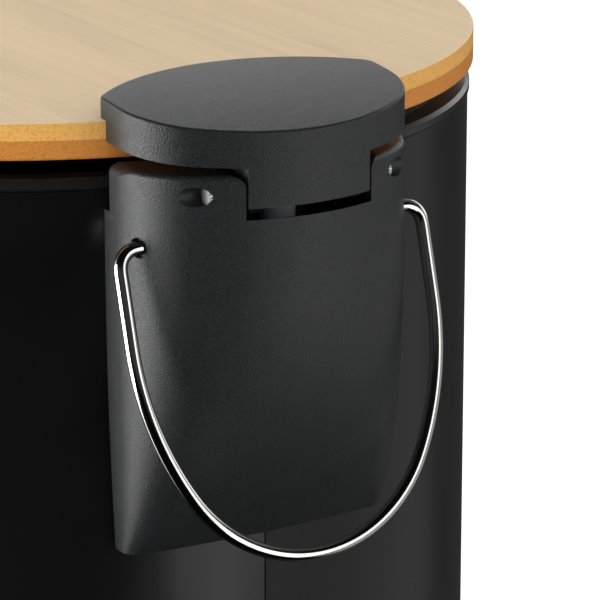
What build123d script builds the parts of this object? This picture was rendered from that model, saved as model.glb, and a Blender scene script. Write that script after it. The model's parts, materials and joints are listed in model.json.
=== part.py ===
from build123d import *
from math import atan2, cos, pi, radians, sin, sqrt, tan
import os

# Small pedal bin with a bamboo lid, in millimetres.
# The body's axis is Z and the floor is z = 0. The hinge is at +Y and the pedal at -Y.

os.makedirs("parts", exist_ok=True)

# Clearances
running_fit = 0.05
side_play = 0.3
seat_gap = 0.1

# Body shell, whose radius sets the plan of everything round it
shell_radius = 101.3
shell_wall = 0.8
seam_x = -3.2
seam_width = 2.4
seam_proud = 0.3

# Lid
lid_top_z = 275.0
lid_overhang = 1.2
top_ply_thickness = 3.9
bottom_ply_thickness = 4.2
lid_edge_round = 0.5
lid_gap = 4.2
lid_open_angle = 65.0

# Rim ring
rim_overhang = 0.4
rim_bevel = 0.8
rim_lip_height = 2.2
rim_top_width = 5.2
rim_groove_height = 0.6
rim_groove_depth = 0.8
rim_skirt_wall = 2.0
rim_skirt_height = 14.0
ledge_drop = 4.0
ledge_thickness = 2.0
ledge_width = 7.3

# Base
base_overhang = 1.0
base_wall = 2.5
foot_height = 3.0
foot_width = 7.0
foot_inset = 0.5
foot_bevel = 0.6
base_flange_top_z = 24.0
base_plate_top_z = 34.0
base_plate_thickness = 2.5

# Inner bucket and its bail
bucket_ledge_play = 0.7
bucket_taper = 6.5
bucket_wall = 1.6
bucket_lift = 2.5
bucket_flange_play = 0.5
bucket_flange_thickness = 2.0
bucket_base_round = 8.0
bail_wire = 2.6
bail_inset = 7.5
bail_drop = 9.0
bail_reach = 3.2

# Hinge line
hinge_setback = 16.7
hinge_z = 262.1
hinge_pin_diameter = 4.0
hinge_pin_length = 44.0
serration_length = 4.0
serration_depth = 0.35
serration_count = 18

# Plan outline that the housing and the cap share
hinge_half_width = 33.3
hinge_front_reach = 7.5
front_arc_radius = 44.0
corner_arc_radius = 20.0

# Hinge housing
housing_top_z = 266.3
housing_bottom_z = 180.8
housing_depth = 46.0
housing_wall = 2.2
housing_foot_proud = 2.7
housing_foot_half_width = 32.1
housing_foot_radius = 250.0
housing_foot_corner = 3.5
shoulder_z = 239.0
taper_power = 2.0
housing_sections = 6
housing_edge_round = 1.2
ear_gap_half = 15.1
ear_inner_round = 2.8
ear_outer_round = 2.2
ear_step_z = 255.9
ear_rim_clearance = 2.3
ear_wall_height = 19.0
slot_sill_z = 257.0
sill_lip = 0.3
sill_bevel_height = 2.6
pin_boss_radius = 5.0
guide_wall = 2.0
guide_bottom_z = 206.0
guide_top_z = 247.0

# Hinge cap
cap_crest_z = 281.1
cap_crest_setback = 65.5
cap_top_radius = 366.0
cap_depth = 44.3
cap_back_radius = 49.4
cap_back_corner = 3.5
cap_wall = 2.0
cap_edge_round = 0.6
skirt_rear_z = 267.7
skirt_lid_z = 270.1
tab_half_width = 14.6
tab_bottom_z = 259.4
knuckle_radius = 5.0
knuckle_inner = 10.2
knuckle_outer = 13.4

# Lid bracket, with its drive arm and damper heel
bracket_sheet = 2.2
bracket_plate_thickness = 2.0
bracket_half_width = 19.0
bracket_neck_half_width = 9.8
bracket_reach = 38.5
bracket_shoulder_reach = 19.0
bracket_neck_reach = 8.0
bracket_corner = 4.0
cheek_x = 8.0
cheek_radius = 4.2
cheek_root_reach = 15.2
arm_run = 9.8
arm_slot_play = 0.6
arm_wall = 1.3
heel_front = 3.0
heel_back = 8.0
heel_thickness = 2.6
heel_gap = 0.3

# Screws and bumpers
screw_diameter = 3.0
screw_head_diameter = 5.6
screw_head_height = 1.8
lid_screw_setbacks = ((-15.0, 26.5), (15.0, 26.5), (0.0, 31.5))
lid_screw_boss = 7.0
lid_screw_bite = 2.0
bumper_diameter = 4.4
bumper_angles = (-20.0, -65.0, -115.0, -160.0)

# Lifter, push rod and their guide
lifter_pin_diameter = 3.0
lifter_half_width = 4.0
lifter_half_depth = 2.8
lifter_head = 3.0
lifter_neck = 9.0
lifter_drop = 37.0
lifter_foot_height = 8.0
lifter_foot_wall = 1.1
rod_diameter = 3.4
rod_inset = 8.3
rod_socket_depth = 5.0
rod_bend_radius = 2.2
rod_hook_z = 10.5
rod_hook_play = 0.65
rod_guide_z = 140.0
rod_guide_height = 12.0
rod_guide_wall = 1.6
clip_diameter = 8.0
clip_thickness = 1.2
rod_end = 0.6

# Damper
damper_x = 1.1
damper_setback = 6.0
damper_diameter = 7.5
damper_wall = 0.95
damper_bottom_z = 216.0
damper_length = 35.2
damper_head_top_z = 257.1
damper_head_height = 5.3
damper_rod_diameter = 2.5
damper_piston_height = 4.0
damper_stroke = 4.5
cradle_wall = 1.0
cradle_height = 14.0
cradle_floor = 2.0

# Carry handle
handle_setback = 10.0
handle_z = 250.2
handle_wire = 3.0
handle_half_width = 36.9
handle_tilt = 16.0
handle_leg = 20.0
handle_side_radius = 66.0
handle_side_angle = 30.0
handle_bend_radius = 4.0
handle_boss_x = 27.5
handle_boss_radius = 4.2
handle_end = 0.8
handle_hole_flare = 0.7
handle_flare_x = 31.2
retainer_diameter = 7.5
retainer_thickness = 0.8

# Housing screws
housing_screw_x = 21.0
housing_screw_heights = (193.0, 233.0)
housing_screw_boss = 6.6
housing_screw_length = 7.0

# Pedal
pedal_travel = 6.5
pivot_z = 12.0
pedal_pin_diameter = 4.0
pedal_pin_head = 6.4
pedal_pin_head_thickness = 1.2
lever_half_width = 8.0
lever_sheet = 2.5
lever_front_z = 17.5
lever_rise_start_inset = 47.3
lever_rise_end_inset = 22.3
lever_barrel_wall = 1.6
lever_ear_sheet = 2.0
lever_ear_wall = 1.5
lever_ear_length = 14.0
pedal_reach = 26.3
pedal_depth = 24.0
pedal_half_width = 21.0
pedal_thickness = 3.0
pedal_front_corner = 9.0
pedal_back_corner = 4.0
pedal_edge_round = 0.8
pedal_slot_half_width = 25.0
pedal_slot_height = 20.0
rivet_diameter = 4.0
rivet_head_diameter = 6.4
rivet_head_height = 0.9
rivet_spacing = 10.0
rivet_setback = 15.0
pivot_cheek_gap = 0.6
pivot_bracket_sheet = 2.0
pivot_bracket_depth = 26.0
pivot_bracket_foot = 12.0
pivot_cheek_radius = 5.5

# Radii that follow from the shell's, and places that follow from it and from the hinge line
lid_radius = shell_radius + lid_overhang
rim_radius = shell_radius + rim_overhang
rim_opening_radius = rim_radius - rim_top_width
ledge_radius = rim_opening_radius - ledge_width
base_radius = shell_radius + base_overhang
bucket_radius = ledge_radius - bucket_ledge_play
bucket_base_radius = bucket_radius - bucket_taper
bail_radius = bucket_radius - bail_inset
hinge_y = shell_radius + hinge_setback
hinge_front_y = hinge_y + hinge_front_reach
housing_back_y = hinge_front_y - housing_depth
cap_crest_y = hinge_front_y - cap_crest_setback
cap_back_y = hinge_front_y - cap_depth
bracket_front_y = hinge_y - bracket_reach
bracket_shoulder_y = hinge_y - bracket_shoulder_reach
bracket_neck_y = hinge_y - bracket_neck_reach
cheek_root_y = hinge_y - cheek_root_reach
lid_screw_places = [(x, hinge_y - setback) for x, setback in lid_screw_setbacks]
rod_y = shell_radius - rod_inset
damper_y = hinge_y - damper_setback
handle_y = hinge_y - handle_setback
lever_rise_start = base_radius - lever_rise_start_inset
lever_rise_end = base_radius - lever_rise_end_inset
pedal_front_y = -base_radius - pedal_reach

# Heights that follow
lid_bottom_z = lid_top_z - top_ply_thickness - bottom_ply_thickness
rim_top_z = lid_bottom_z - lid_gap
lip_bottom_z = rim_top_z - rim_lip_height
shell_top_z = lip_bottom_z - rim_groove_height
shell_inner_radius = shell_radius - shell_wall
bucket_flange_z = lip_bottom_z - ledge_drop
bucket_flange_radius = rim_opening_radius - bucket_flange_play
bucket_floor_z = base_plate_top_z + bucket_lift
bail_z = bucket_flange_z - bail_drop
plate_bottom_z = base_plate_top_z - base_plate_thickness
riser_radius = shell_inner_radius - seat_gap
riser_inner_radius = riser_radius - base_wall
bracket_bottom_z = lid_bottom_z - bracket_plate_thickness
housing_foot_y = shell_radius + housing_foot_proud
skirt_fall = (skirt_lid_z - skirt_rear_z) / (hinge_front_y - lid_radius)
housing_back_radius = shell_radius + seat_gap
ear_back_radius = shell_radius + ear_rim_clearance
seam_radius = shell_radius + seam_proud

# Linkage: the arm swings evenly about the level, and the pedal lifts the rod by the lifter's stroke
half_swing = radians(lid_open_angle / 2)
lifter_x = -cheek_x
lifter_y = hinge_y - arm_run
lifter_stroke = 2 * arm_run * tan(half_swing)
lifter_pin_z = hinge_z - lifter_stroke / 2
lifter_bottom_z = lifter_pin_z - lifter_drop
arm_slot_half_width = lifter_pin_diameter / 2 + arm_slot_play
arm_half_width = arm_slot_half_width + arm_wall
arm_slot_far = arm_run / cos(half_swing)
fork_half_gap = bracket_sheet / 2 + side_play
pivot_y = rod_y - lifter_stroke / sin(radians(pedal_travel))
hook_sway = lifter_stroke * tan(radians(pedal_travel) / 2)
lever_ear_x = lifter_x + rod_bend_radius + side_play + lever_ear_sheet / 2
lever_ear_y = rod_y + hook_sway / 2
lever_ear_radius = rod_diameter / 2 + rod_hook_play + lever_ear_wall
lever_top_z = pivot_z + lever_sheet / 2
lever_front_top_z = lever_front_z + lever_sheet / 2
heel_bottom_z = damper_head_top_z + heel_gap
retainer_x = handle_boss_x - side_play
handle_inner_x = retainer_x - retainer_thickness - handle_end
heel_half_width = damper_diameter / 2 + seat_gap
cradle_half = damper_diameter / 2 + running_fit + cradle_wall
housing_screw_reach = housing_screw_x + screw_head_diameter / 2
housing_screw_seat_y = sqrt(shell_inner_radius**2 - housing_screw_reach**2) - seat_gap


def span(low, high):
    """Middle and length of a range."""
    return (low + high) / 2, high - low


def block(x_range, y_range, z_range, mode=Mode.ADD):
    """A box between two corners, in the part being built."""
    (x, width), (y, depth), (z, height) = span(*x_range), span(*y_range), span(*z_range)
    with Locations((x, y, z)):
        Box(width, depth, height, mode=mode)


def bar_x(x_range, y, z, radius, mode=Mode.ADD):
    """A round bar along X, in the part being built."""
    x, length = span(*x_range)
    with Locations((x, y, z)):
        Cylinder(radius, length, rotation=(0, 90, 0), mode=mode)


def bar_y(x, y_range, z, radius, mode=Mode.ADD):
    """A round bar along Y, in the part being built."""
    y, length = span(*y_range)
    with Locations((x, y, z)):
        Cylinder(radius, length, rotation=(90, 0, 0), mode=mode)


def bar_z(x, y, z_range, radius, mode=Mode.ADD):
    """A round bar along Z, in the part being built."""
    z, length = span(*z_range)
    with Locations((x, y, z)):
        Cylinder(radius, length, mode=mode)


def arm_place(distance):
    """A point on the drive arm's centre line, in its own plane, at a distance from the hinge line."""
    return hinge_y - distance * cos(half_swing), hinge_z - distance * sin(half_swing)


def arc_joint(half_width, front_y, front_radius, corner_radius):
    """Centre height of the corner arc, its middle point, and where it meets the front arc."""
    corner_x = half_width - corner_radius
    front_centre_y = front_y - front_radius
    rise = sqrt((front_radius - corner_radius) ** 2 - corner_x**2)
    corner_y = front_centre_y + rise
    lean = atan2(rise, corner_x)
    middle = (corner_x + corner_radius * cos(lean / 2), corner_y + corner_radius * sin(lean / 2))
    meet = (front_radius * cos(lean), front_centre_y + front_radius * sin(lean))
    return corner_y, middle, meet


def housing_size(z):
    """Half width, front, front arc and corner arc of the housing, which leans in and flattens to its foot."""
    lean = max(0.0, (shoulder_z - z) / (shoulder_z - housing_bottom_z)) ** taper_power
    half_width = hinge_half_width + (housing_foot_half_width - hinge_half_width) * lean
    front_y = hinge_front_y + (housing_foot_y - hinge_front_y) * lean
    front_radius = 1 / ((1 - lean) ** 2 / front_arc_radius + lean / housing_foot_radius)
    corner_radius = corner_arc_radius + (housing_foot_corner - corner_arc_radius) * lean
    return half_width, front_y, front_radius, corner_radius


def housing_outline(z, inset):
    """Plan of the housing at a height: a broad front arc, two corner arcs and straight sides."""
    half_width, front_y, front_radius, corner_radius = [size - inset for size in housing_size(z)]
    corner_y, middle, meet = arc_joint(half_width, front_y, front_radius, corner_radius)
    with BuildLine() as outline:
        ThreePointArc((-meet[0], meet[1]), (0, front_y), meet)
        ThreePointArc(meet, middle, (half_width, corner_y))
        Line((half_width, corner_y), (half_width, housing_back_y))
        Line((half_width, housing_back_y), (-half_width, housing_back_y))
        Line((-half_width, housing_back_y), (-half_width, corner_y))
        ThreePointArc((-half_width, corner_y), (-middle[0], middle[1]), (-meet[0], meet[1]))
    make_face(outline.edges())


def housing_form(inset, bottom_z, top_z):
    """The housing's form, drawn in by an inset: a foot lofted up to the shoulder, and an upright top."""
    with BuildPart() as form:
        for step in range(housing_sections):
            z = bottom_z + (shoulder_z - bottom_z) * step / (housing_sections - 1)
            with BuildSketch(Plane.XY.offset(z)):
                housing_outline(z, inset)
        loft()
        with BuildSketch(Plane.XY.offset(shoulder_z)):
            housing_outline(shoulder_z, inset)
        extrude(amount=top_z - shoulder_z)
    return form.part


def cap_outline(inset, mode=Mode.ADD):
    """Plan of the cap: the housing's front, and a shallower arc with tighter corners over the lid."""
    half_width = hinge_half_width - inset
    front_y = hinge_front_y - inset
    back_y = cap_back_y + inset
    front = arc_joint(half_width, front_y, front_arc_radius - inset, corner_arc_radius - inset)
    back = arc_joint(half_width, -back_y, cap_back_radius - inset, cap_back_corner - inset)
    with BuildLine() as outline:
        ThreePointArc((-front[2][0], front[2][1]), (0, front_y), front[2])
        ThreePointArc(front[2], front[1], (half_width, front[0]))
        Line((half_width, front[0]), (half_width, -back[0]))
        ThreePointArc((half_width, -back[0]), (back[1][0], -back[1][1]), (back[2][0], -back[2][1]))
        ThreePointArc((back[2][0], -back[2][1]), (0, back_y), (-back[2][0], -back[2][1]))
        ThreePointArc((-back[2][0], -back[2][1]), (-back[1][0], -back[1][1]), (-half_width, -back[0]))
        Line((-half_width, -back[0]), (-half_width, front[0]))
        ThreePointArc((-half_width, front[0]), (-front[1][0], front[1][1]), (-front[2][0], front[2][1]))
    make_face(outline.edges(), mode=mode)


def cap_form(inset):
    """The cap's form, drawn in by an inset: its plan, under a long arc that falls away to the rear."""
    with BuildPart() as form:
        with BuildSketch(Plane.XY.offset(tab_bottom_z)):
            cap_outline(inset)
        extrude(amount=cap_crest_z - tab_bottom_z)
        bar_x(
            (-hinge_half_width, hinge_half_width),
            cap_crest_y,
            cap_crest_z - cap_top_radius,
            cap_top_radius - inset,
            Mode.INTERSECT,
        )
    return form.part


def hinge_bore():
    """The bore for the hinge pin, through the part being built."""
    bore_radius = hinge_pin_diameter / 2 + running_fit
    bar_x((-hinge_front_y, hinge_front_y), hinge_y, hinge_z, bore_radius, Mode.SUBTRACT)


# Base moulding: a flange that the shell stands on, a riser inside the shell and a plate
with BuildPart() as base_moulding:
    with BuildSketch(Plane.XZ):
        with BuildLine():
            Polyline(
                (0, base_plate_top_z),
                (riser_radius, base_plate_top_z),
                (riser_radius, base_flange_top_z),
                (base_radius, base_flange_top_z),
                (base_radius, foot_height),
                (base_radius - foot_width, foot_height),
                (base_radius - foot_width, foot_height + base_wall),
                (base_radius - base_wall, foot_height + base_wall),
                (base_radius - base_wall, base_flange_top_z - base_wall),
                (riser_inner_radius, base_flange_top_z - base_wall),
                (riser_inner_radius, plate_bottom_z),
                (0, plate_bottom_z),
                close=True,
            )
        make_face()
    revolve(axis=Axis.Z)
    block(
        (-pedal_slot_half_width, pedal_slot_half_width),
        (-base_radius - 1, 2 * foot_width - base_radius),
        (foot_height, foot_height + pedal_slot_height),
        Mode.SUBTRACT,
    )
    rod_bore = rod_diameter / 2 + rod_hook_play
    bar_z(lifter_x, rod_y, (plate_bottom_z - 1, base_plate_top_z + 1), rod_bore, Mode.SUBTRACT)
    with Locations((0, pivot_y, base_plate_top_z - base_plate_thickness / 2)):
        with GridLocations(
            2 * (lever_half_width + pivot_cheek_gap + pivot_bracket_sheet) + pivot_bracket_foot,
            pivot_bracket_depth - pivot_bracket_foot,
            2,
            2,
        ):
            Cylinder(screw_diameter / 2 + running_fit, 2 * base_plate_thickness, mode=Mode.SUBTRACT)
base_moulding.part.label = "base_moulding"
export_step(base_moulding.part, "parts/base_moulding.step")

# Anti-slip ring under the base's foot
with BuildPart() as anti_slip_ring:
    with BuildSketch():
        Circle(base_radius - foot_inset)
        Circle(base_radius - foot_width + foot_inset, mode=Mode.SUBTRACT)
    extrude(amount=foot_height)
    chamfer(anti_slip_ring.edges().group_by(Axis.Z)[0], length=foot_bevel)
anti_slip_ring.part.label = "anti_slip_ring"
export_step(anti_slip_ring.part, "parts/anti_slip_ring.step")

# Body shell: a rolled steel tube with a lock seam down the back and a window for the lifter's foot
with BuildPart() as body_shell:
    with BuildSketch(Plane.XY.offset(base_flange_top_z)):
        Circle(shell_radius)
        with Locations((seam_x, shell_radius)):
            Rectangle(seam_width, 2 * seam_proud)
        Circle(seam_radius, mode=Mode.INTERSECT)
        Circle(shell_inner_radius, mode=Mode.SUBTRACT)
    extrude(amount=shell_top_z - base_flange_top_z)
    block(
        (lifter_x - lifter_half_width - side_play, lifter_x + lifter_half_width + side_play),
        (rod_y, seam_radius + 1),
        (lifter_bottom_z - 1, lifter_bottom_z + lifter_foot_height + lifter_stroke + 1),
        Mode.SUBTRACT,
    )
    for side in (-1, 1):
        for height in housing_screw_heights:
            bar_y(
                side * housing_screw_x,
                (rod_y, shell_radius + 1),
                height,
                screw_diameter / 2 + side_play,
                Mode.SUBTRACT,
            )
body_shell.part.label = "body_shell"
export_step(body_shell.part, "parts/body_shell.step")

# Top rim ring: a lip over the shell's edge, a groove under the lip and a ledge for the bucket
with BuildPart() as top_rim_ring:
    with BuildSketch(Plane.XZ):
        with BuildLine():
            Polyline(
                (rim_opening_radius, rim_top_z),
                (rim_radius - rim_bevel, rim_top_z),
                (rim_radius, rim_top_z - rim_bevel),
                (rim_radius, lip_bottom_z),
                (rim_radius - rim_groove_depth, lip_bottom_z),
                (rim_radius - rim_groove_depth, shell_top_z),
                (riser_radius, shell_top_z),
                (riser_radius, shell_top_z - rim_skirt_height),
                (riser_radius - rim_skirt_wall, shell_top_z - rim_skirt_height),
                (riser_radius - rim_skirt_wall, bucket_flange_z - ledge_thickness),
                (ledge_radius, bucket_flange_z - ledge_thickness),
                (ledge_radius, bucket_flange_z),
                (rim_opening_radius, bucket_flange_z),
                close=True,
            )
        make_face()
    revolve(axis=Axis.Z)
top_rim_ring.part.label = "top_rim_ring"
export_step(top_rim_ring.part, "parts/top_rim_ring.step")

# Inner bucket: tapered, with a flange on the ring's ledge and two holes for its bail
with BuildPart() as inner_bucket:
    with BuildSketch(Plane.XZ):
        with BuildLine():
            Polyline(
                (0, bucket_floor_z),
                (bucket_base_radius, bucket_floor_z),
                (bucket_radius, bucket_flange_z),
                (bucket_flange_radius, bucket_flange_z),
                (bucket_flange_radius, bucket_flange_z + bucket_flange_thickness),
                (bucket_radius - bucket_wall, bucket_flange_z + bucket_flange_thickness),
                (bucket_base_radius - bucket_wall, bucket_floor_z + bucket_wall),
                (0, bucket_floor_z + bucket_wall),
                close=True,
            )
        make_face()
    revolve(axis=Axis.Z)
    base_edges = inner_bucket.edges().filter_by(GeomType.CIRCLE).sort_by(Axis.Z)
    fillet(base_edges[0], radius=bucket_base_round)
    base_edges = inner_bucket.edges().filter_by(GeomType.CIRCLE).filter_by_position(
        Axis.Z, bucket_floor_z + bucket_wall - running_fit, bucket_floor_z + bucket_wall + running_fit
    )
    fillet(base_edges, radius=bucket_base_round - bucket_wall)
    bar_x((-bucket_flange_radius, bucket_flange_radius), 0, bail_z, bail_wire / 2 + side_play, Mode.SUBTRACT)
inner_bucket.part.label = "inner_bucket"
export_step(inner_bucket.part, "parts/inner_bucket.step")

# Bucket bail: a half ring of wire lying down inside the bucket, its ends turned out through the wall
with BuildPart() as bucket_bail:
    with BuildLine(Plane.XY.offset(bail_z)) as bail_path:
        bail_stub = Line((-bucket_radius - bail_reach, 0), (-bail_radius - bail_wire, 0))
        bail_turn = JernArc(bail_stub @ 1, bail_stub % 1, bail_wire, -90)
        bail_loop = JernArc(bail_turn @ 1, bail_turn % 1, bail_radius, 180)
        bail_return = JernArc(bail_loop @ 1, bail_loop % 1, bail_wire, -90)
        Line(bail_return @ 1, (bucket_radius + bail_reach, 0))
    with BuildSketch(Plane(origin=bail_stub @ 0, z_dir=bail_stub % 0)):
        Circle(bail_wire / 2)
    sweep()
bucket_bail.part.label = "bucket_bail"
export_step(bucket_bail.part, "parts/bucket_bail.step")

# Lid: two bamboo plies, glued
with BuildPart() as lid_top_ply:
    bar_z(0, 0, (lid_top_z - top_ply_thickness, lid_top_z), lid_radius)
    fillet(lid_top_ply.edges().group_by(Axis.Z)[-1], radius=lid_edge_round)
    for x, y in lid_screw_places:
        bar_z(x, y, (lid_bottom_z, lid_top_z + 1), screw_diameter / 2 + seat_gap, Mode.SUBTRACT)
lid_top_ply.part.label = "lid_top_ply"
export_step(lid_top_ply.part, "parts/lid_top_ply.step")

with BuildPart() as lid_bottom_ply:
    bar_z(0, 0, (lid_bottom_z, lid_bottom_z + bottom_ply_thickness), lid_radius)
    fillet(lid_bottom_ply.edges().group_by(Axis.Z)[0], radius=lid_edge_round)
    for x, y in lid_screw_places:
        bar_z(x, y, (lid_bottom_z - 1, lid_top_z), screw_diameter / 2 + seat_gap, Mode.SUBTRACT)
lid_bottom_ply.part.label = "lid_bottom_ply"
export_step(lid_bottom_ply.part, "parts/lid_bottom_ply.step")

# Room inside the cap, and a core that its inner ribs stop in
cap_room = cap_form(cap_wall)
cap_core = cap_form(cap_wall / 2)

# Inner ribs of the cap: bosses for the lid screws, and the webs that carry the knuckles
with BuildPart() as cap_ribs:
    for x, y in lid_screw_places:
        bar_z(x, y, (lid_top_z, cap_crest_z), lid_screw_boss / 2)
    for side in (-1, 1):
        block(
            sorted((side * knuckle_inner, side * knuckle_outer)),
            (hinge_y - knuckle_radius, hinge_front_y - 2 * cap_wall),
            (hinge_z, cap_crest_z),
        )
    add(cap_core, mode=Mode.INTERSECT)

# Hinge cap: a cover over the lid's rear edge, with a skirt, a tab between the ears and two knuckles
with BuildPart() as hinge_cap:
    add(cap_form(0))
    fillet(hinge_cap.faces().sort_by(Axis.Z)[-1].edges(), radius=cap_edge_round)
    with BuildSketch(Plane.YZ):
        Polygon(
            (0, tab_bottom_z - 1),
            (2 * lid_radius, tab_bottom_z - 1),
            (2 * lid_radius, skirt_lid_z - skirt_fall * lid_radius),
            (0, skirt_lid_z + skirt_fall * lid_radius),
            align=None,
        )
    extrude(amount=hinge_front_y, both=True, mode=Mode.SUBTRACT)
    with BuildSketch(Plane.XY.offset(tab_bottom_z)):
        cap_outline(0)
        with Locations((0, hinge_y)):
            Rectangle(2 * tab_half_width, 2 * (hinge_front_y - hinge_y), mode=Mode.INTERSECT)
    extrude(amount=skirt_lid_z - tab_bottom_z)
    add(cap_room, mode=Mode.SUBTRACT)
    bar_z(0, 0, (tab_bottom_z - 1, lid_top_z), lid_radius + seat_gap, Mode.SUBTRACT)
    add(cap_ribs.part)
    for side in (-1, 1):
        bar_x(sorted((side * knuckle_inner, side * knuckle_outer)), hinge_y, hinge_z, knuckle_radius)
    for x, y in lid_screw_places:
        bar_z(
            x,
            y,
            (lid_top_z - 1, lid_top_z + lid_screw_bite + seat_gap),
            screw_diameter / 2 + running_fit,
            Mode.SUBTRACT,
        )
    hinge_bore()
hinge_cap.part.label = "hinge_cap"
export_step(hinge_cap.part, "parts/hinge_cap.step")

# Lid bracket: a steel plate under the lid, bent down into two cheeks. The left cheek ends in the slotted
# drive arm, and the right one carries the heel that lands on the damper.
with BuildPart() as lid_bracket:
    with BuildSketch(Plane.XY.offset(bracket_bottom_z)):
        with Locations((0, (bracket_front_y + bracket_shoulder_y) / 2)):
            RectangleRounded(2 * bracket_half_width, bracket_shoulder_y - bracket_front_y, bracket_corner)
        with Locations((0, (bracket_shoulder_y + bracket_neck_y - bracket_corner) / 2)):
            Rectangle(2 * bracket_neck_half_width, bracket_neck_y - bracket_shoulder_y + bracket_corner)
    extrude(amount=bracket_plate_thickness)
    for side in (-1, 1):
        with BuildSketch(Plane.YZ.offset(side * cheek_x - bracket_sheet / 2)):
            Polygon(
                (cheek_root_y, lid_bottom_z),
                (cheek_root_y, bracket_bottom_z),
                (hinge_y - heel_front, heel_bottom_z),
                (hinge_y, hinge_z),
                (hinge_y, hinge_z + cheek_radius),
                (bracket_neck_y, lid_bottom_z),
                align=None,
            )
            with Locations((hinge_y, hinge_z)):
                Circle(cheek_radius)
            if side < 0:
                with Locations(arm_place(arm_slot_far / 2)):
                    SlotCenterToCenter(arm_slot_far, 2 * arm_half_width, rotation=lid_open_angle / 2)
                with Locations(arm_place((arm_run + arm_slot_far) / 2)):
                    SlotCenterToCenter(
                        arm_slot_far - arm_run,
                        2 * arm_slot_half_width,
                        rotation=lid_open_angle / 2,
                        mode=Mode.SUBTRACT,
                    )
        extrude(amount=bracket_sheet)
    block(
        (cheek_x - bracket_sheet / 2, cheek_x + bracket_sheet / 2),
        (hinge_y - heel_back, hinge_y - heel_front),
        (heel_bottom_z, bracket_bottom_z),
    )
    block(
        (damper_x - heel_half_width, cheek_x),
        (hinge_y - heel_back, hinge_y - heel_front),
        (heel_bottom_z, heel_bottom_z + heel_thickness),
    )
    hinge_bore()
    for x, y in lid_screw_places:
        bar_z(x, y, (bracket_bottom_z - 1, lid_bottom_z + 1), screw_diameter / 2 + seat_gap, Mode.SUBTRACT)
lid_bracket.part.label = "lid_bracket"
export_step(lid_bracket.part, "parts/lid_bracket.step")

# Lid screws: from below, through the bracket and both plies, into the cap's bosses
with BuildPart() as lid_screws:
    for x, y in lid_screw_places:
        bar_z(x, y, (bracket_bottom_z - screw_head_height, bracket_bottom_z), screw_head_diameter / 2)
        shank_z = (bracket_bottom_z - screw_head_height / 2, lid_top_z + lid_screw_bite)
        bar_z(x, y, shank_z, screw_diameter / 2)
lid_screws.part.label = "lid_screws"
export_step(lid_screws.part, "parts/lid_screws.step")

# Lid bumpers: short pads under the lid that land on the rim
with BuildPart() as lid_bumpers:
    bumper_run = (rim_opening_radius + rim_radius - rim_bevel) / 2
    for angle in bumper_angles:
        bar_z(
            bumper_run * cos(radians(angle)),
            bumper_run * sin(radians(angle)),
            (rim_top_z + seat_gap, lid_bottom_z),
            bumper_diameter / 2,
        )
lid_bumpers.part.label = "lid_bumpers"
export_step(lid_bumpers.part, "parts/lid_bumpers.step")

# Hinge pin, with a ring of fine grooves at each end
with BuildPart() as hinge_pin:
    bar_x((-hinge_pin_length / 2, hinge_pin_length / 2), hinge_y, hinge_z, hinge_pin_diameter / 2)
    half_length = hinge_pin_length / 2
    for side in (-1, 1):
        groove_x = sorted((side * (half_length - serration_length), side * (half_length + 1)))
        for step in range(serration_count):
            turn = 2 * pi * step / serration_count
            bar_x(
                groove_x,
                hinge_y + hinge_pin_diameter / 2 * cos(turn),
                hinge_z + hinge_pin_diameter / 2 * sin(turn),
                serration_depth / 2,
                Mode.SUBTRACT,
            )
hinge_pin.part.label = "hinge_pin"
export_step(hinge_pin.part, "parts/hinge_pin.step")

# Housing solids that the housing is cut from: its form, its room, and a core that the inner walls stop in
housing_solid = housing_form(0, housing_bottom_z, housing_top_z)
housing_room = housing_form(housing_wall, housing_bottom_z + housing_wall, housing_top_z - housing_wall)
housing_core = housing_form(housing_wall / 2, housing_bottom_z, housing_top_z - housing_wall / 2)

# Inner walls of the housing: ear sides and backs, pin bosses, screw bosses, lifter guides and damper cradle
with BuildPart() as housing_walls:
    bar_z(0, 0, (ear_step_z - housing_wall, housing_top_z), ear_back_radius + housing_wall)
    block(
        (-ear_gap_half, ear_gap_half),
        (0, hinge_front_y),
        (ear_step_z - housing_wall, housing_top_z),
        Mode.SUBTRACT,
    )
    for side in (-1, 1):
        block(
            sorted((side * ear_gap_half, side * (ear_gap_half + housing_wall))),
            (rod_y, hinge_front_y),
            (housing_top_z - ear_wall_height, housing_top_z),
        )
        bar_x(
            sorted((side * ear_gap_half, side * hinge_half_width)),
            hinge_y,
            hinge_z,
            pin_boss_radius,
        )
        bar_x(
            sorted((side * handle_boss_x, side * hinge_half_width)),
            handle_y,
            handle_z,
            handle_boss_radius,
        )
        for height in housing_screw_heights:
            bar_y(side * housing_screw_x, (rod_y, hinge_front_y), height, housing_screw_boss / 2)
    for side in (-1, 1):
        guide_x = lifter_x + side * (lifter_half_width + side_play)
        guide_range = sorted((guide_x, guide_x + side * guide_wall))
        block(guide_range, (rod_y, hinge_front_y), (guide_bottom_z, guide_top_z))
    block(
        (damper_x - cradle_half, damper_x + cradle_half),
        (damper_y - cradle_half, hinge_front_y),
        (damper_bottom_z - cradle_floor, damper_bottom_z + cradle_height),
    )
    add(housing_core, mode=Mode.INTERSECT)

# Bevel along the inside of the sill between the ears, where the cap's tab swings down
with BuildPart() as sill_cut:
    with BuildSketch(Plane.XY.offset(slot_sill_z - sill_bevel_height)):
        housing_outline(shoulder_z, housing_wall)
    with BuildSketch(Plane.XY.offset(slot_sill_z)):
        housing_outline(shoulder_z, sill_lip)
    loft()
    gap_range = (-ear_gap_half, ear_gap_half)
    block(gap_range, (lifter_y, hinge_front_y), (guide_top_z, slot_sill_z), Mode.INTERSECT)

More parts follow.
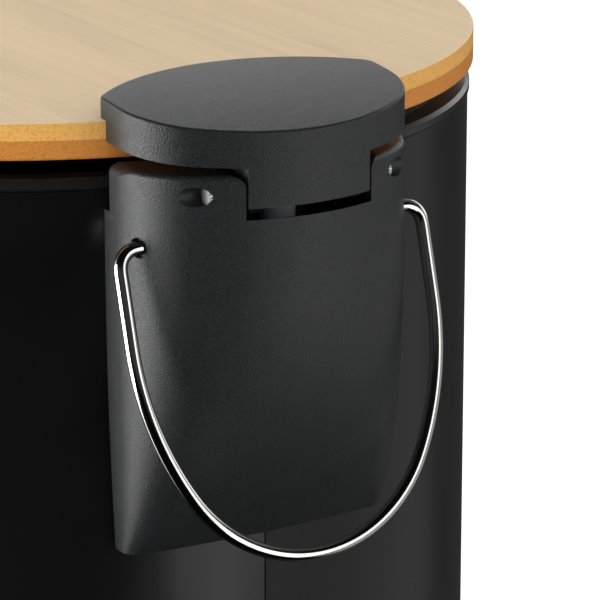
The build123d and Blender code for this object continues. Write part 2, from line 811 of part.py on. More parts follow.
# What the ears are trimmed by, seen from the rear: the gap between them, and rounds at their top corners
with BuildPart() as ear_trim:
    with BuildSketch(Plane.XZ):
        with Locations((0, (slot_sill_z + housing_top_z + 1) / 2)):
            Rectangle(2 * ear_gap_half, housing_top_z + 1 - slot_sill_z)
        for side in (-1, 1):
            with Locations((side * (ear_gap_half + ear_inner_round / 2), housing_top_z)):
                Rectangle(ear_inner_round, 2 * ear_inner_round)
            with Locations((side * (ear_gap_half + ear_inner_round), housing_top_z - ear_inner_round)):
                Circle(ear_inner_round, mode=Mode.SUBTRACT)
            with Locations((side * hinge_half_width, housing_top_z)):
                Rectangle(2 * ear_outer_round, 2 * ear_outer_round)
            with Locations((side * (hinge_half_width - ear_outer_round), housing_top_z - ear_outer_round)):
                Circle(ear_outer_round, mode=Mode.SUBTRACT)
    extrude(amount=2 * hinge_front_y, both=True)

# Hinge housing: a tapered shell on the back of the body, with two ears that carry the hinge pin
with BuildPart() as hinge_housing:
    add(housing_solid)
    fillet(hinge_housing.faces().sort_by(Axis.Z)[-1].edges().sort_by(Axis.Y)[1:], radius=housing_edge_round)
    add(housing_room, mode=Mode.SUBTRACT)
    add(housing_walls.part)
    bar_z(0, 0, (housing_bottom_z - 1, housing_top_z + 1), housing_back_radius, Mode.SUBTRACT)
    bar_z(0, 0, (ear_step_z, housing_top_z + 1), ear_back_radius, Mode.SUBTRACT)
    add(ear_trim.part, mode=Mode.SUBTRACT)
    block(
        (seam_x - seam_width / 2 - seat_gap, seam_x + seam_width / 2 + seat_gap),
        (rod_y, seam_radius + seat_gap),
        (housing_bottom_z - 1, housing_top_z),
        Mode.SUBTRACT,
    )
    hinge_bore()
    bar_z(
        damper_x,
        damper_y,
        (damper_bottom_z, housing_top_z),
        damper_diameter / 2 + running_fit,
        Mode.SUBTRACT,
    )
    for side in (-1, 1):
        for height in housing_screw_heights:
            bar_y(
                side * housing_screw_x,
                (rod_y, housing_screw_seat_y + housing_screw_length + seat_gap),
                height,
                screw_diameter / 2 + running_fit,
                Mode.SUBTRACT,
            )
        bar_x(
            sorted((side * handle_inner_x, side * (hinge_half_width + 1))),
            handle_y,
            handle_z,
            handle_wire / 2 + running_fit,
            Mode.SUBTRACT,
        )
        bar_x(
            sorted((side * handle_flare_x, side * (hinge_half_width + 1))),
            handle_y,
            handle_z,
            handle_wire / 2 + handle_hole_flare,
            Mode.SUBTRACT,
        )
    add(sill_cut.part, mode=Mode.SUBTRACT)
hinge_housing.part.label = "hinge_housing"
export_step(hinge_housing.part, "parts/hinge_housing.step")

# Housing screws: from inside the body, through the shell, into the housing's bosses
with BuildPart() as housing_screws:
    for side in (-1, 1):
        for height in housing_screw_heights:
            x = side * housing_screw_x
            head_y = (housing_screw_seat_y - screw_head_height, housing_screw_seat_y)
            bar_y(x, head_y, height, screw_head_diameter / 2)
            bar_y(
                x,
                (housing_screw_seat_y - screw_head_height / 2, housing_screw_seat_y + housing_screw_length),
                height,
                screw_diameter / 2,
            )
housing_screws.part.label = "housing_screws"
export_step(housing_screws.part, "parts/housing_screws.step")

# Carry handle: one bent wire, in a plane that leans out from the housing
handle_lean = radians(handle_tilt)
handle_plane = Plane(
    origin=(0, handle_y, handle_z), x_dir=(1, 0, 0), z_dir=(0, -cos(handle_lean), -sin(handle_lean))
)
handle_side_turn = radians(handle_side_angle)
handle_base_radius = (
    handle_half_width - handle_side_radius * (1 - cos(handle_side_turn))
) / cos(handle_side_turn)
with BuildPart() as carry_handle:
    with BuildLine(handle_plane) as handle_path:
        Line((-handle_inner_x, 0), (handle_bend_radius - handle_half_width, 0))
        JernArc((handle_bend_radius - handle_half_width, 0), (-1, 0), handle_bend_radius, 90)
        Line((-handle_half_width, -handle_bend_radius), (-handle_half_width, -handle_leg))
        JernArc((-handle_half_width, -handle_leg), (0, -1), handle_side_radius, handle_side_angle)
        base_x = handle_base_radius * cos(handle_side_turn)
        base_drop = handle_leg + handle_side_radius * sin(handle_side_turn)
        down_tangent = (sin(handle_side_turn), -cos(handle_side_turn))
        up_tangent = (sin(handle_side_turn), cos(handle_side_turn))
        JernArc((-base_x, -base_drop), down_tangent, handle_base_radius, 180 - 2 * handle_side_angle)
        JernArc((base_x, -base_drop), up_tangent, handle_side_radius, handle_side_angle)
        Line((handle_half_width, -handle_leg), (handle_half_width, -handle_bend_radius))
        JernArc((handle_half_width, -handle_bend_radius), (0, 1), handle_bend_radius, 90)
        Line((handle_half_width - handle_bend_radius, 0), (handle_inner_x, 0))
    with BuildSketch(Plane(origin=(-handle_inner_x, handle_y, handle_z), z_dir=(-1, 0, 0))):
        Circle(handle_wire / 2)
    sweep()
carry_handle.part.label = "carry_handle"
export_step(carry_handle.part, "parts/carry_handle.step")

# Handle retainers: press-on washers that keep the wire's ends in the housing
with BuildPart() as handle_retainers:
    for side in (-1, 1):
        washer_x = sorted((side * (retainer_x - retainer_thickness), side * retainer_x))
        bar_x(washer_x, handle_y, handle_z, retainer_diameter / 2)
        bar_x(washer_x, handle_y, handle_z, handle_wire / 2 + running_fit, Mode.SUBTRACT)
handle_retainers.part.label = "handle_retainers"
export_step(handle_retainers.part, "parts/handle_retainers.step")

# Damper: a closed cylinder in its cradle, a rod with a piston, and the head that the lid's heel lands on
damper_top_z = damper_bottom_z + damper_length
with BuildPart() as damper_cylinder:
    bar_z(damper_x, damper_y, (damper_bottom_z, damper_top_z), damper_diameter / 2)
    bar_z(
        damper_x,
        damper_y,
        (damper_bottom_z + damper_wall, damper_top_z - damper_wall),
        damper_diameter / 2 - damper_wall,
        Mode.SUBTRACT,
    )
    bar_z(
        damper_x,
        damper_y,
        (damper_top_z - 2 * damper_wall, damper_top_z + 1),
        damper_rod_diameter / 2 + running_fit,
        Mode.SUBTRACT,
    )
damper_cylinder.part.label = "damper_cylinder"
export_step(damper_cylinder.part, "parts/damper_cylinder.step")

piston_bottom_z = damper_top_z - 2 * damper_wall - damper_stroke - damper_piston_height
with BuildPart() as damper_rod:
    bar_z(
        damper_x,
        damper_y,
        (piston_bottom_z, piston_bottom_z + damper_piston_height),
        damper_diameter / 2 - damper_wall - running_fit,
    )
    bar_z(
        damper_x,
        damper_y,
        (piston_bottom_z, damper_head_top_z - damper_head_height / 2),
        damper_rod_diameter / 2,
    )
damper_rod.part.label = "damper_rod"
export_step(damper_rod.part, "parts/damper_rod.step")

with BuildPart() as damper_head:
    head_low_z = damper_head_top_z - damper_head_height
    bar_z(damper_x, damper_y, (head_low_z, damper_head_top_z), damper_diameter / 2)
    chamfer(damper_head.edges().group_by(Axis.Z)[-1], length=lid_edge_round)
    bar_z(
        damper_x,
        damper_y,
        (head_low_z - 1, damper_head_top_z - damper_head_height / 2),
        damper_rod_diameter / 2 + running_fit,
        Mode.SUBTRACT,
    )
damper_head.part.label = "damper_head"
export_step(damper_head.part, "parts/damper_head.step")

# Lifter: a block that slides up the housing, with a fork for the drive arm and a foot that reaches the rod
with BuildPart() as lifter:
    lifter_x_range = (lifter_x - lifter_half_width, lifter_x + lifter_half_width)
    lifter_y_range = (lifter_y - lifter_half_depth, lifter_y + lifter_half_depth)
    block(lifter_x_range, lifter_y_range, (lifter_bottom_z, lifter_pin_z + lifter_head))
    block(
        (lifter_x - fork_half_gap, lifter_x + fork_half_gap),
        lifter_y_range,
        (lifter_pin_z - lifter_neck, lifter_pin_z + lifter_head),
        Mode.SUBTRACT,
    )
    block(
        lifter_x_range,
        (rod_y - rod_diameter / 2 - lifter_foot_wall, lifter_y),
        (lifter_bottom_z, lifter_bottom_z + lifter_foot_height),
    )
    bar_x(lifter_x_range, lifter_y, lifter_pin_z, lifter_pin_diameter / 2 + running_fit, Mode.SUBTRACT)
    bar_z(
        lifter_x,
        rod_y,
        (lifter_bottom_z - 1, lifter_bottom_z + rod_socket_depth),
        rod_diameter / 2 + running_fit,
        Mode.SUBTRACT,
    )
lifter.part.label = "lifter"
export_step(lifter.part, "parts/lifter.step")

with BuildPart() as lifter_pin:
    bar_x(lifter_x_range, lifter_y, lifter_pin_z, lifter_pin_diameter / 2)
lifter_pin.part.label = "lifter_pin"
export_step(lifter_pin.part, "parts/lifter_pin.step")

# Push rod: upright behind the shell, its foot bent sideways through the lever's ear
clip_x = lever_ear_x + lever_ear_sheet / 2 + side_play
with BuildPart() as push_rod:
    with BuildLine(Plane.XZ.offset(-rod_y)):
        Line((lifter_x, lifter_bottom_z + rod_socket_depth), (lifter_x, rod_hook_z + rod_bend_radius))
        JernArc((lifter_x, rod_hook_z + rod_bend_radius), (0, -1), rod_bend_radius, 90)
        Line((lifter_x + rod_bend_radius, rod_hook_z), (clip_x + clip_thickness + rod_end, rod_hook_z))
    with BuildSketch(Plane(origin=(lifter_x, rod_y, lifter_bottom_z + rod_socket_depth), z_dir=(0, 0, -1))):
        Circle(rod_diameter / 2)
    sweep()
push_rod.part.label = "push_rod"
export_step(push_rod.part, "parts/push_rod.step")

with BuildPart() as rod_clip:
    bar_x((clip_x, clip_x + clip_thickness), rod_y, rod_hook_z, clip_diameter / 2)
    bar_x((clip_x, clip_x + clip_thickness), rod_y, rod_hook_z, rod_diameter / 2 + running_fit, Mode.SUBTRACT)
rod_clip.part.label = "rod_clip"
export_step(rod_clip.part, "parts/rod_clip.step")

# Rod guide: a block welded inside the shell
with BuildPart() as rod_guide:
    guide_half = rod_diameter / 2 + rod_guide_wall
    block(
        (lifter_x - guide_half, lifter_x + guide_half),
        (rod_y - guide_half, shell_radius),
        (rod_guide_z, rod_guide_z + rod_guide_height),
    )
    bar_z(0, 0, (rod_guide_z, rod_guide_z + rod_guide_height), riser_radius, Mode.INTERSECT)
    bar_z(
        lifter_x,
        rod_y,
        (rod_guide_z - 1, rod_guide_z + rod_guide_height + 1),
        rod_diameter / 2 + 2 * running_fit,
        Mode.SUBTRACT,
    )
rod_guide.part.label = "rod_guide"
export_step(rod_guide.part, "parts/rod_guide.step")

# Pedal lever: a steel strip with a rolled barrel at its pivot and an upright ear for the rod's hook
lever_back_y = rod_y - rod_diameter / 2 - 2 * side_play - lever_sheet
with BuildPart() as pedal_lever:
    with BuildSketch(Plane.YZ.offset(-lever_half_width)):
        with BuildLine():
            Polyline(
                (lever_back_y, pivot_z),
                (-lever_rise_start, pivot_z),
                (-lever_rise_end, lever_front_z),
                (pedal_front_y + pedal_edge_round + lever_sheet, lever_front_z),
            )
        trace(line_width=lever_sheet)
    extrude(amount=2 * lever_half_width)
    bar_x(
        (-lever_half_width, lever_half_width),
        pivot_y,
        pivot_z,
        pedal_pin_diameter / 2 + lever_barrel_wall,
    )
    with BuildSketch(Plane.YZ.offset(lever_ear_x - lever_ear_sheet / 2)):
        Polygon(
            (lever_back_y - lever_ear_length, lever_top_z),
            (lever_back_y - lever_ear_length / 2, pivot_z - lever_sheet / 2),
            (lever_ear_y, rod_hook_z - lever_ear_radius),
            (lever_ear_y, rod_hook_z + lever_ear_radius),
            align=None,
        )
        with Locations((lever_ear_y, rod_hook_z)):
            Circle(lever_ear_radius)
            Circle(rod_diameter / 2 + rod_hook_play, mode=Mode.SUBTRACT)
    extrude(amount=lever_ear_sheet)
    bar_x(
        (-lever_half_width, lever_half_width),
        pivot_y,
        pivot_z,
        pedal_pin_diameter / 2 + running_fit,
        Mode.SUBTRACT,
    )
    for side in (-1, 1):
        bar_z(
            side * rivet_spacing / 2,
            pedal_front_y + rivet_setback,
            (pivot_z, lever_front_top_z + 1),
            rivet_diameter / 2 + running_fit,
            Mode.SUBTRACT,
        )
pedal_lever.part.label = "pedal_lever"
export_step(pedal_lever.part, "parts/pedal_lever.step")

# Pedal pad, riveted on the lever's front
with BuildPart() as pedal_pad:
    with BuildSketch(Plane.XY.offset(lever_front_top_z)) as pad_plan:
        with Locations((0, pedal_front_y + pedal_depth / 2)):
            Rectangle(2 * pedal_half_width, pedal_depth)
        fillet(pad_plan.vertices().group_by(Axis.Y)[0], radius=pedal_front_corner)
        fillet(pad_plan.vertices().group_by(Axis.Y)[-1], radius=pedal_back_corner)
    extrude(amount=pedal_thickness)
    fillet(pedal_pad.edges().group_by(Axis.Z)[-1], radius=pedal_edge_round)
    for side in (-1, 1):
        bar_z(
            side * rivet_spacing / 2,
            pedal_front_y + rivet_setback,
            (lever_front_z, lever_front_top_z + pedal_thickness + 1),
            rivet_diameter / 2 + running_fit,
            Mode.SUBTRACT,
        )
pedal_pad.part.label = "pedal_pad"
export_step(pedal_pad.part, "parts/pedal_pad.step")

with BuildPart() as pedal_rivets:
    rivet_top_z = lever_front_top_z + pedal_thickness
    rivet_low_z = lever_front_z - lever_sheet / 2
    upper_head_z = rivet_top_z + rivet_head_height
    lower_head_z = rivet_low_z - rivet_head_height
    for side in (-1, 1):
        rivet_place = (side * rivet_spacing / 2, pedal_front_y + rivet_setback)
        bar_z(*rivet_place, (lower_head_z, upper_head_z), rivet_diameter / 2)
        bar_z(*rivet_place, (lower_head_z, rivet_low_z), rivet_head_diameter / 2)
        bar_z(*rivet_place, (rivet_top_z, upper_head_z), rivet_head_diameter / 2)
pedal_rivets.part.label = "pedal_rivets"
export_step(pedal_rivets.part, "parts/pedal_rivets.step")

# Pivot bracket: a folded plate under the base, with two cheeks that hold the pedal's pin
cheek_inner_x = lever_half_width + pivot_cheek_gap
cheek_outer_x = cheek_inner_x + pivot_bracket_sheet
with BuildPart() as pedal_bracket:
    block(
        (-cheek_outer_x - pivot_bracket_foot, cheek_outer_x + pivot_bracket_foot),
        (pivot_y - pivot_bracket_depth / 2, pivot_y + pivot_bracket_depth / 2),
        (plate_bottom_z - pivot_bracket_sheet, plate_bottom_z),
    )
    for low_x in (-cheek_outer_x, cheek_inner_x):
        with BuildSketch(Plane.YZ.offset(low_x)):
            Polygon(
                (pivot_y - pivot_bracket_depth / 2, plate_bottom_z - pivot_bracket_sheet / 2),
                (pivot_y - pivot_cheek_radius, pivot_z),
                (pivot_y + pivot_cheek_radius, pivot_z),
                (pivot_y + pivot_bracket_depth / 2, plate_bottom_z - pivot_bracket_sheet / 2),
                align=None,
            )
            with Locations((pivot_y, pivot_z)):
                Circle(pivot_cheek_radius)
        extrude(amount=pivot_bracket_sheet)
    bar_x(
        (-cheek_outer_x - 1, cheek_outer_x + 1),
        pivot_y,
        pivot_z,
        pedal_pin_diameter / 2 + running_fit,
        Mode.SUBTRACT,
    )
    with Locations((0, pivot_y, plate_bottom_z)):
        with GridLocations(
            2 * cheek_outer_x + pivot_bracket_foot,
            pivot_bracket_depth - pivot_bracket_foot,
            2,
            2,
        ):
            Cylinder(screw_diameter / 2 + seat_gap, 3 * pivot_bracket_sheet, mode=Mode.SUBTRACT)
pedal_bracket.part.label = "pedal_bracket"
export_step(pedal_bracket.part, "parts/pedal_bracket.step")

with BuildPart() as pedal_pivot_pin:
    pin_reach = cheek_outer_x + seat_gap
    bar_x((-pin_reach, pin_reach), pivot_y, pivot_z, pedal_pin_diameter / 2)
    for side in (-1, 1):
        head_x = sorted((side * pin_reach, side * (pin_reach + pedal_pin_head_thickness)))
        bar_x(head_x, pivot_y, pivot_z, pedal_pin_head / 2)
pedal_pivot_pin.part.label = "pedal_pivot_pin"
export_step(pedal_pivot_pin.part, "parts/pedal_pivot_pin.step")

with BuildPart() as bracket_screws:
    bracket_low_z = plate_bottom_z - pivot_bracket_sheet
    for x in (-cheek_outer_x - pivot_bracket_foot / 2, cheek_outer_x + pivot_bracket_foot / 2):
        for y in (
            pivot_y - (pivot_bracket_depth - pivot_bracket_foot) / 2,
            pivot_y + (pivot_bracket_depth - pivot_bracket_foot) / 2,
        ):
            bar_z(x, y, (bracket_low_z - screw_head_height, bracket_low_z), screw_head_diameter / 2)
            shank_z = (bracket_low_z - screw_head_height / 2, base_plate_top_z - rod_end)
            bar_z(x, y, shank_z, screw_diameter / 2)
bracket_screws.part.label = "bracket_screws"
export_step(bracket_screws.part, "parts/bracket_screws.step")
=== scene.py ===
import json
import math

import bpy
import numpy as np
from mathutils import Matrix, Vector


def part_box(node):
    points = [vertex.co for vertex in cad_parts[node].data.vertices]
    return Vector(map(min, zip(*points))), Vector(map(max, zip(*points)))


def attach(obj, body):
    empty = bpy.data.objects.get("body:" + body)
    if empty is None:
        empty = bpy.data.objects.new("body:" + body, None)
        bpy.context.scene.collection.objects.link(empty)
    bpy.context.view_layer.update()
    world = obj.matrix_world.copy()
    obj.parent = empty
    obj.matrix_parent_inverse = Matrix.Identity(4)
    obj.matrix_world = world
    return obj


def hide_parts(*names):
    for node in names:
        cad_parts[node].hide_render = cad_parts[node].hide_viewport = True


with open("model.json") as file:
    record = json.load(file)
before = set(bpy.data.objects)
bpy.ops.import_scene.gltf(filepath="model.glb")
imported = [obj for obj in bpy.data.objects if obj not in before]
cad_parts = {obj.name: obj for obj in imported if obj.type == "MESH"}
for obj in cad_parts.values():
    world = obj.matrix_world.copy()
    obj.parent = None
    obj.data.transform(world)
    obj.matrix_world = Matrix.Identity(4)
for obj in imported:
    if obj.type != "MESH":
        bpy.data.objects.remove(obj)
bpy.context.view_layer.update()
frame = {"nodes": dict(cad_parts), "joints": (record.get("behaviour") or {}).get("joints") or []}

bl_info = {
    "name": "Bamboo-lid pedal bin",
    "version": (1, 0, 0),
    "blender": (4, 5, 0),
    "location": "3D View > Sidebar > Pedal bin",
    "description": "Dresses a small pedal bin: bamboo lid, grained hinge, enamelled body, wire handle",
    "category": "Object",
}

MM = 0.001
NODES = frame["nodes"]

# The finishes by name, which main fills
FINISH = {}

# Places read from the frame
LID_TOP_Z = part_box("lid_top_ply")[1].z
CORE_TOP_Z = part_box("lid_bottom_ply")[1].z
JOINT = {joint["name"]: joint for joint in frame["joints"]}
PIVOT_Y, PIVOT_Z = JOINT["carry_handle_swing"]["pos_m"][1:]
HANDLE_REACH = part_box("carry_handle")[1].x

# Lock seam down the shell's back: its place, its width and how far its lap rises over that width
SEAM_X = -3.2 * MM
SEAM_WIDTH = 2.4 * MM
SEAM_RISE = 0.45 * MM

# How many times as long as wide the bamboo's fibres and its growth marks are
FIBRE_DRAWN_OUT = 40
MARK_DRAWN_OUT = 9

# Wire handle: its bends, with angles in degrees, and the length over which one radius runs into the next
HANDLE_TILT = 16.0
HANDLE_LEG = 20.0 * MM
HANDLE_SIDE_RADIUS = 66.0 * MM
HANDLE_SIDE_ANGLE = 30.0
HANDLE_BEND = 4.0 * MM
HANDLE_INNER_X = 25.6 * MM
HANDLE_SOFTENING = 1.6 * MM
HANDLE_END_ROUND = 0.5 * MM

# Camera, in metres, as the photograph sees the bin
CAMERA_PLACE = Vector((0.3710, 0.7245, 0.4469))
CAMERA_AIM = Vector((-0.5011, -0.8177, -0.2836))
SENSOR_WIDTH = 36
NEAREST = 0.01

# Soft boxes: name, bearing in degrees from +X, width and height in metres, and radiance
SOFT_BOXES = (("left_box", -24, (0.66, 1.0), 8.0), ("right_box", 113, (0.5, 1.0), 1.8))
BOX_DISTANCE = 1.05
BOX_MIDDLE = Vector((0, 0.1, 0.12))

# The room that only mirrors see, as places and levels: from the camera's side (0) to the far side (1), and
# from straight down (0) through the table's height (0.5) to straight up (1)
BACKDROP_LEVELS = ((0.45, 0.03), (0.60, 0.5), (0.80, 1.2))
ABOVE_LEVELS = ((0.50, 0.05), (0.57, 1.6), (0.62, 1.6), (0.70, 0.25), (0.85, 0.10))

# Round cards that only mirrors see: bearing in degrees, cosine of the reach, and level. Their middles lie
# below the level by a slope, and their rims fade over a stretch of the cosine.
CARDS = ((156, 0.86, 0.4), (-66, 0.86, 2.2))
CARD_SLOPE = -0.3
CARD_FADE = (-0.06, 0.04)

# Table of matt white paper
FLOOR_HALF_SIDE = 3.0
PAPER_SEEN = 0.80
PAPER_UNSEEN = 0.75
PAPER_GLOW = 0.30

# The colour sockets of a Mix node
MIX_FACTOR, MIX_FIRST, MIX_SECOND = 0, 6, 7


def hex_colour(code):
    """An sRGB hex code as a linear colour: a twelfth-slope line near black, then a 2.4 power."""
    srgb = np.array([int(code[i:i + 2], 16) for i in (1, 3, 5)]) / 255
    linear = np.where(srgb <= 0.04045, srgb / 12.92, ((srgb + 0.055) / 1.055) ** 2.4)
    return (*linear.tolist(), 1.0)


def shade(colour, factor):
    """A colour made lighter or darker by a factor."""
    return tuple(min(1.0, channel * factor) for channel in colour[:3]) + (1.0,)


def grey(level):
    """A grey for a ramp that stands for a plain value."""
    return (level, level, level, 1.0)


class BinSizes(bpy.types.PropertyGroup):
    """Sizes of the wire, of the surface detail and of the view."""

    handle_wire: bpy.props.FloatProperty(
        name="Handle wire", description="Diameter of the wire that the carry handle is bent from",
        default=3.0 * MM, unit="LENGTH", precision=5)
    grain_size: bpy.props.FloatProperty(
        name="Mould grain", description="Pitch of the spark-eroded grain on the plastic",
        default=0.26 * MM, unit="LENGTH", precision=5)
    fibre_size: bpy.props.FloatProperty(
        name="Fibre spacing", description="Spacing of the bamboo's fibre bundles",
        default=0.55 * MM, unit="LENGTH", precision=5)
    strip_width: bpy.props.FloatProperty(
        name="Strip width", description="Width of the bamboo strips glued into a ply",
        default=20.0 * MM, unit="LENGTH", precision=4)
    lens: bpy.props.FloatProperty(
        name="Lens", description="Focal length of the camera on a 36 mm frame", default=213.36, unit="CAMERA")


class BinColours(bpy.types.PropertyGroup):
    """Colours of the visible finishes."""

    bamboo_face: bpy.props.FloatVectorProperty(
        name="Bamboo face", description="Sanded face of the top ply",
        default=hex_colour("#D8BC94"), subtype="COLOR", size=4, min=0, max=1)
    bamboo_edge: bpy.props.FloatVectorProperty(
        name="Bamboo edge", description="Cut edge of the top ply",
        default=hex_colour("#D09A4A"), subtype="COLOR", size=4, min=0, max=1)
    bamboo_core: bpy.props.FloatVectorProperty(
        name="Bamboo core", description="Carbonised bottom ply",
        default=hex_colour("#B87428"), subtype="COLOR", size=4, min=0, max=1)
    plastic: bpy.props.FloatVectorProperty(
        name="Grained plastic", description="Cap and housing",
        default=hex_colour("#1D1E1F"), subtype="COLOR", size=4, min=0, max=1)
    enamel: bpy.props.FloatVectorProperty(
        name="Enamel", description="Body shell and pedal",
        default=hex_colour("#0C0C0C"), subtype="COLOR", size=4, min=0, max=1)


def add(tree, kind, inputs=None, stops=(), to=None, **settings):
    """Add a node with its settings, its inputs and a ramp's stops of place and colour, and link it on to a
    socket if one is given. A node or a socket given as an input is linked, and anything else is a value."""
    new = tree.nodes.new(kind)
    for key, value in settings.items():
        setattr(new, key, value)
    for key, value in (inputs or {}).items():
        if isinstance(value, (bpy.types.Node, bpy.types.NodeSocket)):
            tree.links.new(live_output(value), new.inputs[key])
        else:
            new.inputs[key].default_value = value
    if stops:
        band = new.color_ramp.elements
        while len(band) < len(stops):
            band.new(0.5)
        for element, (place, colour) in zip(band, stops):
            element.position = place
            element.color = colour
    if to is not None:
        tree.links.new(live_output(new), to)
    return new


def live_output(source):
    """A socket as it is, or the first output that a node has in use."""
    if isinstance(source, bpy.types.NodeSocket):
        return source
    return next(output for output in source.outputs if output.enabled)


def new_material(name, sockets):
    """An empty procedural material with values on its shader's sockets: its tree, shader and coordinates."""
    material = bpy.data.materials.new(name)
    material.use_nodes = True
    tree = material.node_tree
    shader = tree.nodes["Principled BSDF"]
    for socket, value in sockets.items():
        shader.inputs[socket].default_value = value
    place = add(tree, "ShaderNodeTexCoord").outputs["Object"]
    return material, tree, shader, place


def bamboo_lacquered_ply(name, face, edge, along, face_z):
    """Edge-glued bamboo, sanded and sealed with a thin matt lacquer. Strips differ a little in tone, the face
    has long hair-fine fibres with darker growth marks, and the cut edge is warmer, speckled by fibre ends."""
    sizes = bpy.context.scene.bin_sizes
    material, tree, shader, place = new_material(name, {"Roughness": 0.5, "Specular IOR Level": 0.35})
    across = "X" if along == "Y" else "Y"
    axes = add(tree, "ShaderNodeSeparateXYZ", {"Vector": place})
    share = add(tree, "ShaderNodeMath", {0: axes.outputs[across], 1: sizes.strip_width}, operation="DIVIDE")
    strip = add(tree, "ShaderNodeMath", {0: share}, operation="FLOOR")
    shift = add(tree, "ShaderNodeTexWhiteNoise", {"W": strip}, noise_dimensions="1D")
    shift_way = add(tree, "ShaderNodeCombineXYZ", {"X": shift, "Y": shift, "Z": shift})
    strip_place = add(tree, "ShaderNodeVectorMath", {0: place, 1: shift_way}, operation="ADD")
    fibre_place, mark_place = (
        add(tree, "ShaderNodeVectorMath", {
            0: strip_place, 1: [1 / drawn_out if axis == along else 1 for axis in "XYZ"]},
            operation="MULTIPLY")
        for drawn_out in (FIBRE_DRAWN_OUT, MARK_DRAWN_OUT))
    fibres = add(tree, "ShaderNodeTexNoise", {
        "Vector": fibre_place, "Scale": 1 / (1.6 * sizes.fibre_size), "Detail": 3.0, "Roughness": 0.6})
    streaks = add(tree, "ShaderNodeTexNoise", {
        "Vector": fibre_place, "Scale": 4 / sizes.strip_width, "Detail": 2.0, "Roughness": 0.5})
    marks = add(tree, "ShaderNodeTexNoise", {
        "Vector": mark_place, "Scale": 1 / (0.9 * sizes.strip_width), "Detail": 3.0, "Roughness": 0.65})
    ends = add(tree, "ShaderNodeTexNoise", {
        "Vector": place, "Scale": 1 / sizes.fibre_size, "Detail": 3.0, "Roughness": 0.7})
    fibre_part = add(tree, "ShaderNodeMath", {0: fibres, 1: 0.45}, operation="MULTIPLY")
    tone = add(tree, "ShaderNodeMath", {0: streaks, 1: 0.55, 2: fibre_part}, operation="MULTIPLY_ADD")
    grain = add(tree, "ShaderNodeValToRGB", {"Fac": tone}, stops=[
        (0.25, shade(face, 0.86)), (0.5, face), (0.78, shade(face, 1.06))])
    strip_tone = add(tree, "ShaderNodeValToRGB", {"Fac": shift}, stops=[(0.0, grey(0.94)), (1.0, grey(1.0))])
    mark_tone = add(tree, "ShaderNodeValToRGB", {"Fac": marks}, stops=[
        (0.50, grey(1.0)), (0.62, grey(0.93)), (0.70, grey(0.84))])
    edge_tone = add(tree, "ShaderNodeValToRGB", {"Fac": ends}, stops=[
        (0.30, shade(edge, 0.62)), (0.45, shade(edge, 0.95)), (0.7, shade(edge, 1.1))])
    product = {"data_type": "RGBA", "blend_type": "MULTIPLY"}
    plain = add(tree, "ShaderNodeMix", {MIX_FACTOR: 1.0, MIX_FIRST: grain, MIX_SECOND: strip_tone}, **product)
    marked = add(tree, "ShaderNodeMix", {MIX_FACTOR: 1.0, MIX_FIRST: plain, MIX_SECOND: mark_tone}, **product)
    on_face = add(tree, "ShaderNodeMath", {0: axes.outputs["Z"], 1: face_z}, operation="GREATER_THAN")
    add(tree, "ShaderNodeMix", {MIX_FACTOR: on_face, MIX_FIRST: edge_tone, MIX_SECOND: marked},
        data_type="RGBA", to=shader.inputs["Base Color"])
    relief = add(tree, "ShaderNodeMath", {0: fibres, 1: ends}, operation="ADD")
    add(tree, "ShaderNodeBump", {"Height": relief, "Distance": 0.03 * MM, "Strength": 0.5},
        to=shader.inputs["Normal"])
    return material


def grained_plastic(name, colour, size, depth=0.10 * MM, roughness=0.34):
    """Black plastic moulded in a spark-eroded tool: an even sandy grain that breaks the sheen into specks."""
    material, tree, shader, place = new_material(name, {"Specular IOR Level": 0.5})
    pits = add(tree, "ShaderNodeTexNoise", {
        "Vector": place, "Scale": 1 / size, "Detail": 2.0, "Roughness": 0.7})
    specks = add(tree, "ShaderNodeTexVoronoi", {"Vector": place, "Scale": 1 / (1.3 * size)})
    cloud = add(tree, "ShaderNodeTexNoise", {
        "Vector": place, "Scale": 1 / (18 * size), "Detail": 3.0, "Roughness": 0.5})
    tone = add(tree, "ShaderNodeValToRGB", {"Fac": pits}, stops=[
        (0.32, shade(colour, 0.55)), (0.5, colour), (0.68, shade(colour, 1.7))])
    soft = add(tree, "ShaderNodeValToRGB", {"Fac": cloud}, stops=[(0.3, grey(0.88)), (0.7, grey(1.0))])
    add(tree, "ShaderNodeMix", {MIX_FACTOR: 1.0, MIX_FIRST: tone, MIX_SECOND: soft},
        data_type="RGBA", blend_type="MULTIPLY", to=shader.inputs["Base Color"])
    add(tree, "ShaderNodeMapRange", {
        "Value": pits, "From Min": 0.3, "From Max": 0.7,
        "To Min": roughness - 0.1, "To Max": roughness + 0.14}, to=shader.inputs["Roughness"])
    grains = add(tree, "ShaderNodeMath", {0: specks, 1: 0.5, 2: pits}, operation="MULTIPLY_ADD")
    add(tree, "ShaderNodeBump", {"Height": grains, "Distance": depth}, to=shader.inputs["Normal"])
    return material


def smooth_plastic(name, colour, roughness, specular=0.5):
    """Plastic from a polished tool: even colour, with faint flow clouding in its sheen."""
    material, tree, shader, place = new_material(name, {"Specular IOR Level": specular})
    flow = add(tree, "ShaderNodeTexNoise", {"Vector": place, "Scale": 1 / (9 * MM), "Detail": 3.0})
    add(tree, "ShaderNodeValToRGB", {"Fac": flow}, to=shader.inputs["Base Color"], stops=[
        (0.3, shade(colour, 0.9)), (0.7, shade(colour, 1.08))])
    add(tree, "ShaderNodeMapRange", {"Value": flow, "To Min": roughness - 0.05, "To Max": roughness + 0.05},
        to=shader.inputs["Roughness"])
    return material


